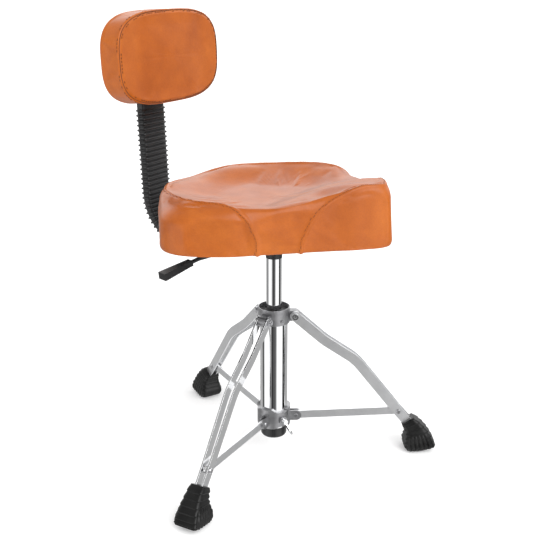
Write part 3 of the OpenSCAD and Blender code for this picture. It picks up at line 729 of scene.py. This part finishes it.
# rings that Cloth holds, the most that it may move a point, width and depth of the seam's groove
SEAT_HELD, SEAT_CAP, SEAT_GROOVE = 5, 0.0024, (0.0030, 0.0022)


def through(stations, s):
    """A smooth curve through (degrees from the nose, value), level at both ends."""
    x, y = np.array(stations, float).T
    m = np.zeros(len(x))
    m[1:-1] = (y[2:] - y[:-2]) / (x[2:] - x[:-2])
    i = np.clip(np.searchsorted(x, s) - 1, 0, len(x) - 2)
    w = x[i + 1] - x[i]
    t = (s - x[i]) / w
    q = 1 - t
    return (y[i] * (1 + 2 * t) * q * q + m[i] * w * t * q * q + y[i + 1] * t * t * (1 + 2 * q)
            - m[i + 1] * w * t * t * q)


def mound(f, reach, height, at_f, spread_f, at_r, spread_r):
    return height * np.exp(-((f - at_f) / spread_f) ** 2 - ((reach - at_r) / spread_r) ** 2)


def seat_grid():
    """Rings of points from under the edge, up the wall and over the shoulder to the dish's middle."""
    a = np.arange(GRID_AROUND) * 2 * np.pi / GRID_AROUND
    f = np.degrees(np.where(a > np.pi, 2 * np.pi - a, a))
    r, h, e = through(OUTLINE, f) - SWELL_ROOM, through(WALL, f) - SWELL_ROOM, through(SHOULDER, f)
    flare = FLARE * np.exp(-(f / FLARE_SPREAD) ** 2)
    rows = [((r + flare) * k, np.full_like(r, z)) for k, z in UNDER]
    for k in range(1, WALL_N + 1):
        q = k / WALL_N
        rows.append((r + flare * (1 - q), FOOT + (h - BEND - FOOT) * q))
    for k in range(1, SHOULDER_N + 1):
        q = math.pi / 2 * k / SHOULDER_N
        rows.append((r - e * (1 - math.cos(q)), h - BEND + BEND * math.sin(q)))
    # a flat middle inside a sloping bolster at the sides and back, a long slope at the nose
    side = smooth((f - BOLSTER_FROM) / BOLSTER_OVER)
    for k in range(1, DISH_N + 1):
        u = 1 - k / DISH_N * DISH_REACH
        bolster = smooth((u - BOLSTER_FOOT) / (1 - BOLSTER_FOOT))
        inner = u * u * (3 - 2 * u) * (1 - side) + bolster * side
        reach = (r - e) * u
        form = mound(f, reach, *THIGH) + mound(f, reach, *GROIN)
        rows.append((reach, DISH_H - SWELL_ROOM + (h - DISH_H + SWELL_ROOM) * inner + form))
    return np.array([np.stack([-q * np.sin(a), -q * np.cos(a), SEAT_Z + z], 1) for q, z in rows])


def ring_at(station):
    """Profile stations: 0-1 the underside's edge, 1-2 the wall, 2-3 the shoulder, above 3 the dish."""
    wall_top = UNDER_N + WALL_N
    return np.interp(station, [0, 1, 2, 3, 4], [3.0, UNDER_N, wall_top, wall_top + SHOULDER_N, RINGS])


def seat_seams(surface):
    """The two seams, each from one lower edge over the top to the other."""
    curves = []
    for stations in (SIDE_SEAM, NOSE_SEAM):
        fine = np.linspace(0, len(stations) - 1, SEAM_POINTS)
        both = spline(np.array(stations, float)[:, None, :], fine, False)[:, 0]
        turn = np.concatenate([both[:, 0], 360 - both[::-1, 0]]) / 360
        ring = ring_at(np.concatenate([both[:, 1], both[::-1, 1]]))
        curves.append((resample(surface.at(turn, ring), SEAM_STEP, False), False))
    return curves


def seat_cushion():
    coarse = seat_grid()
    seams = seat_seams(Surface(coarse, RINGS))
    soft = swell("seat_cloth", coarse, np.vstack([c for c, _ in seams]), SEAT_HELD, SEAT_CAP)
    fine = upsample(soft, rows=3, cols=3)
    o = loft("seat_cushion_cover", fine, MAT["skin"])
    curves = seat_seams(Surface(fine, RINGS))
    groove(o, curves, *SEAT_GROOVE)
    return o, curves


cushion, seams = seat_cushion()
place(cushion, "seat", "skin", "seat_cushion")
cushion.visible_glossy = False
sew("seat_stitching", cushion, seams, row=0.0031, pitch=0.0064, length=0.0038, shade_tube=False)


# ---- backrest -------------------------------------------------------------------------------

# along the bar from the end of its bend to the pad's middle, and from its centre line to the pad's back
PAD_MID, PAD_OFF = 0.2518, 0.015
PAD_W, PAD_H, PAD_T, PAD_SQUARE = 0.277, 0.163, 0.045, 3.15
# the back: how far inside the outline, distance from the back plane
PAD_BACK = [(0.007, 0.010), (0.007, 0.0), (0.0045, 0.0002), (0.002, 0.0015), (0.0005, 0.004)]
# the sides' draw-in, and the front edge: how far back it starts, how far it rounds in and out
SIDE_IN, EDGE_START, EDGE_IN, EDGE_OUT = 0.0012, 0.006, 0.0028, 0.0045
# the face: height of its crown, how square the crown is, how near the last ring comes to the middle
CROWN, CROWN_SQUARE, FACE_REACH = 0.0022, 6, 0.985
PAD_SIDE_N, PAD_EDGE_N, PAD_FACE_N = 7, 4, 20
PAD_SEAM_RING = len(PAD_BACK) - 1 + PAD_SIDE_N + PAD_EDGE_N
PAD_RINGS = PAD_SEAM_RING + PAD_FACE_N
# rings held, the most that a point moves, width and depth of the groove, points of the seam
PAD_HELD, PAD_CAP, PAD_GROOVE, PAD_SEAM_POINTS = 4, 0.004, (0.0026, 0.0018), 600


def pad_frame():
    """Matrix of the pad: X across, Y out of its face, Z up, origin at the middle of its back."""
    arc = Matrix.Translation((0, ARC_Y, ARC_Z)) @ Matrix.Rotation(-LEAN, 4, "X")
    bar = arc @ Matrix.Translation((0, BEND_R, 0))
    return bar @ Matrix.Translation((0, -PAD_OFF, PAD_MID)) @ Matrix.Rotation(math.pi, 4, "Z")


def pad_grid():
    """Rings of points from inside the back, over the sides and the front edge to the face's middle."""
    cx, cz = superellipse(np.arange(GRID_AROUND) * 2 * np.pi / GRID_AROUND, PAD_SQUARE)
    rows = [(e, y, 1.0) for e, y in PAD_BACK]
    y0, y1 = PAD_BACK[-1][1], PAD_T - EDGE_START
    for k in range(1, PAD_SIDE_N + 1):
        rows.append((SIDE_IN, y0 + (y1 - y0) * k / PAD_SIDE_N, 1.0))
    for k in range(1, PAD_EDGE_N + 1):
        q = math.pi / 2 * k / PAD_EDGE_N
        rows.append((SIDE_IN + EDGE_IN * (1 - math.cos(q)), y1 + EDGE_OUT * math.sin(q), 1.0))
    e, y = rows[-1][:2]
    for k in range(1, PAD_FACE_N + 1):
        u = 1 - k / PAD_FACE_N * FACE_REACH
        rows.append((e, y + CROWN * (1 - u ** CROWN_SQUARE), u))
    half_w, half_h = PAD_W / 2, PAD_H / 2
    return np.array([np.stack([(half_w - e) * cx * u, np.full(GRID_AROUND, y), (half_h - e) * cz * u], 1)
                     for e, y, u in rows])


def even_turns(grid):
    """Respace a closed grid's points evenly round its widest ring."""
    ring = grid[len(PAD_BACK) + 2]
    n = len(ring)
    run = lengths_along(np.vstack([ring, ring[:1]]))
    at = np.interp(np.arange(n) / n * run[-1], run, np.arange(n + 1))
    return spline(grid.transpose(1, 0, 2), at, True).transpose(1, 0, 2)


def pad_seam(surface):
    turn = np.arange(PAD_SEAM_POINTS) / PAD_SEAM_POINTS
    return surface.at(turn, np.full(PAD_SEAM_POINTS, float(PAD_SEAM_RING)))


def back_pad():
    coarse = even_turns(pad_grid())
    soft = swell("pad_cloth", coarse, pad_seam(Surface(coarse, PAD_RINGS)), PAD_HELD, PAD_CAP)
    fine = upsample(soft, rows=3, cols=2)
    o = loft("back_cushion_cover", fine[:, ::-1], MAT["skin"])
    seam = pad_seam(Surface(fine, PAD_RINGS))
    groove(o, [(seam, True)], *PAD_GROOVE)
    m = pad_frame()
    o.data.transform(m)
    o.data.update()
    return o, [(np.array([m @ Vector(p) for p in seam]), True)]


pad, pad_curves = back_pad()
place(pad, "seat", "skin", "back_cushion")
# the back's seam gets the dark tube in its groove: painted shade along the seam line
sew("back_stitching_and_seam_shade", pad, pad_curves, row=0.0036, pitch=0.0058, length=0.0034, shade_tube=True)


# ---- light, floor, camera -------------------------------------------------------------------

TO_CAMERA, PICTURE_RIGHT, UP = (-0.839, -0.545, 0.0), (0.545, -0.839, 0.0), (0, 0, 1)
# brightness of the studio in reflections, against degrees round from the camera's side
BANDS = [(-180, 0.50), (-114, 0.50), (-110, 0.35), (-104, 0.07), (-96, 0.04), (-91, 0.30), (-86, 0.90),
         (-80, 1.25), (-38, 1.25), (-32, 0.70), (-27, 0.40), (-20, 0.20), (-12, 0.015), (-7, 0.03),
         (-3, 0.12), (6, 0.11), (11, 0.10), (16, 0.20), (21, 0.45), (25, 1.00), (28, 1.25), (72, 1.25),
         (77, 0.80), (80, 0.10), (84, 0.002), (101, 0.002), (106, 0.10), (111, 0.45), (160, 0.50)]
CEILING_LEVEL, GROUND_LEVEL, LIGHT_LEVEL = 0.45, 0.9, 1.0
# how steeply a ray climbs where the bands give way to walls, walls to ceiling, and ground to the rest
WALLS_OVER, CEILING_OVER, GROUND_OVER = (0.02, 0.18), (0.45, 0.80), (-0.80, -0.60)
# the walls, from the camera's side to behind the object: direction from and to, brightness from and to
WALLS = (0.20, -0.80, 0.40, 2.10)
FLOOR_HALF = 60
SUN_ENERGY, SUN_ANGLE, SUN_HEADING = 1.8, 50, (0.30, 0.95, -0.75)
LENS, SENSOR = 58.84, 36
CAMERA_AT, CAMERA_HEADING = (-1.2451, -0.8002, 0.8635), (0.79384, 0.51552, -0.32258)


def studio():
    """Even light everywhere, and a banded studio that is seen in reflections only."""
    world = bpy.data.worlds.new("studio")
    world.use_nodes = True
    scene.world = world
    t = world.node_tree
    new, link = t.nodes.new, t.links.new
    direction = new("ShaderNodeTexCoord").outputs["Generated"]

    def dot(v):
        n = new("ShaderNodeVectorMath")
        n.operation = "DOT_PRODUCT"
        link(direction, n.inputs[0])
        n.inputs[1].default_value = v
        return n.outputs["Value"]

    def ranged(value, a, b, low=0.0, high=1.0):
        n = new("ShaderNodeMapRange")
        for key, v in (("From Min", a), ("From Max", b), ("To Min", low), ("To Max", high)):
            n.inputs[key].default_value = v
        link(value, n.inputs["Value"])
        return n.outputs["Result"]

    def mixed(fac, a, b):
        n = new("ShaderNodeMix")
        n.data_type = "RGBA"
        link(fac, n.inputs["Factor"])
        for socket, v in ((n.inputs[6], a), (n.inputs[7], b)):
            if isinstance(v, float):
                socket.default_value = (v, v, v, 1)
            else:
                link(v, socket)
        return n.outputs[2]

    turn = new("ShaderNodeMath")
    turn.operation = "ARCTAN2"
    link(dot(PICTURE_RIGHT), turn.inputs[0])
    link(dot(TO_CAMERA), turn.inputs[1])
    ramp = new("ShaderNodeValToRGB")
    elements = ramp.color_ramp.elements
    while len(elements) < len(BANDS):
        elements.new(0.5)
    for e, (deg, level) in zip(elements, BANDS):
        e.position = (deg + 180) / 360
        e.color = (level, level, level, 1)
    link(ranged(turn.outputs[0], -math.pi, math.pi), ramp.inputs["Fac"])

    # bands low down, walls above them that are brightest behind the object, then ceiling and ground
    walls = ranged(dot(TO_CAMERA), *WALLS)
    sky = mixed(ranged(dot(UP), *WALLS_OVER), ramp.outputs["Color"], walls)
    sky = mixed(ranged(dot(UP), *CEILING_OVER), sky, CEILING_LEVEL)
    sky = mixed(ranged(dot(UP), *GROUND_OVER), GROUND_LEVEL, sky)
    path = new("ShaderNodeLightPath")
    link(mixed(path.outputs["Is Glossy Ray"], LIGHT_LEVEL, sky), t.nodes["Background"].inputs["Color"])


def add_floor():
    h = FLOOR_HALF
    corners = [(-h, -h, 0), (h, -h, 0), (h, h, 0), (-h, h, 0)]
    floor = add_mesh("floor", corners, [(0, 1, 2, 3)], pale_floor(), smooth=False)
    floor.visible_glossy = False


def aim(o, heading):
    scene.collection.objects.link(o)
    o.rotation_euler = Vector(heading).to_track_quat("-Z", "Y").to_euler()


def add_sun():
    sun = bpy.data.lights.new("soft_key", "SUN")
    sun.energy = SUN_ENERGY
    sun.angle = math.radians(SUN_ANGLE)
    aim(bpy.data.objects.new("soft_key", sun), SUN_HEADING)


def add_camera():
    lens = bpy.data.cameras.new("camera")
    lens.lens = LENS
    lens.sensor_width = SENSOR
    camera = bpy.data.objects.new("camera", lens)
    camera.location = CAMERA_AT
    aim(camera, CAMERA_HEADING)
    scene.camera = camera


studio()
add_floor()
add_sun()
add_camera()
scene.view_settings.view_transform = "Standard"
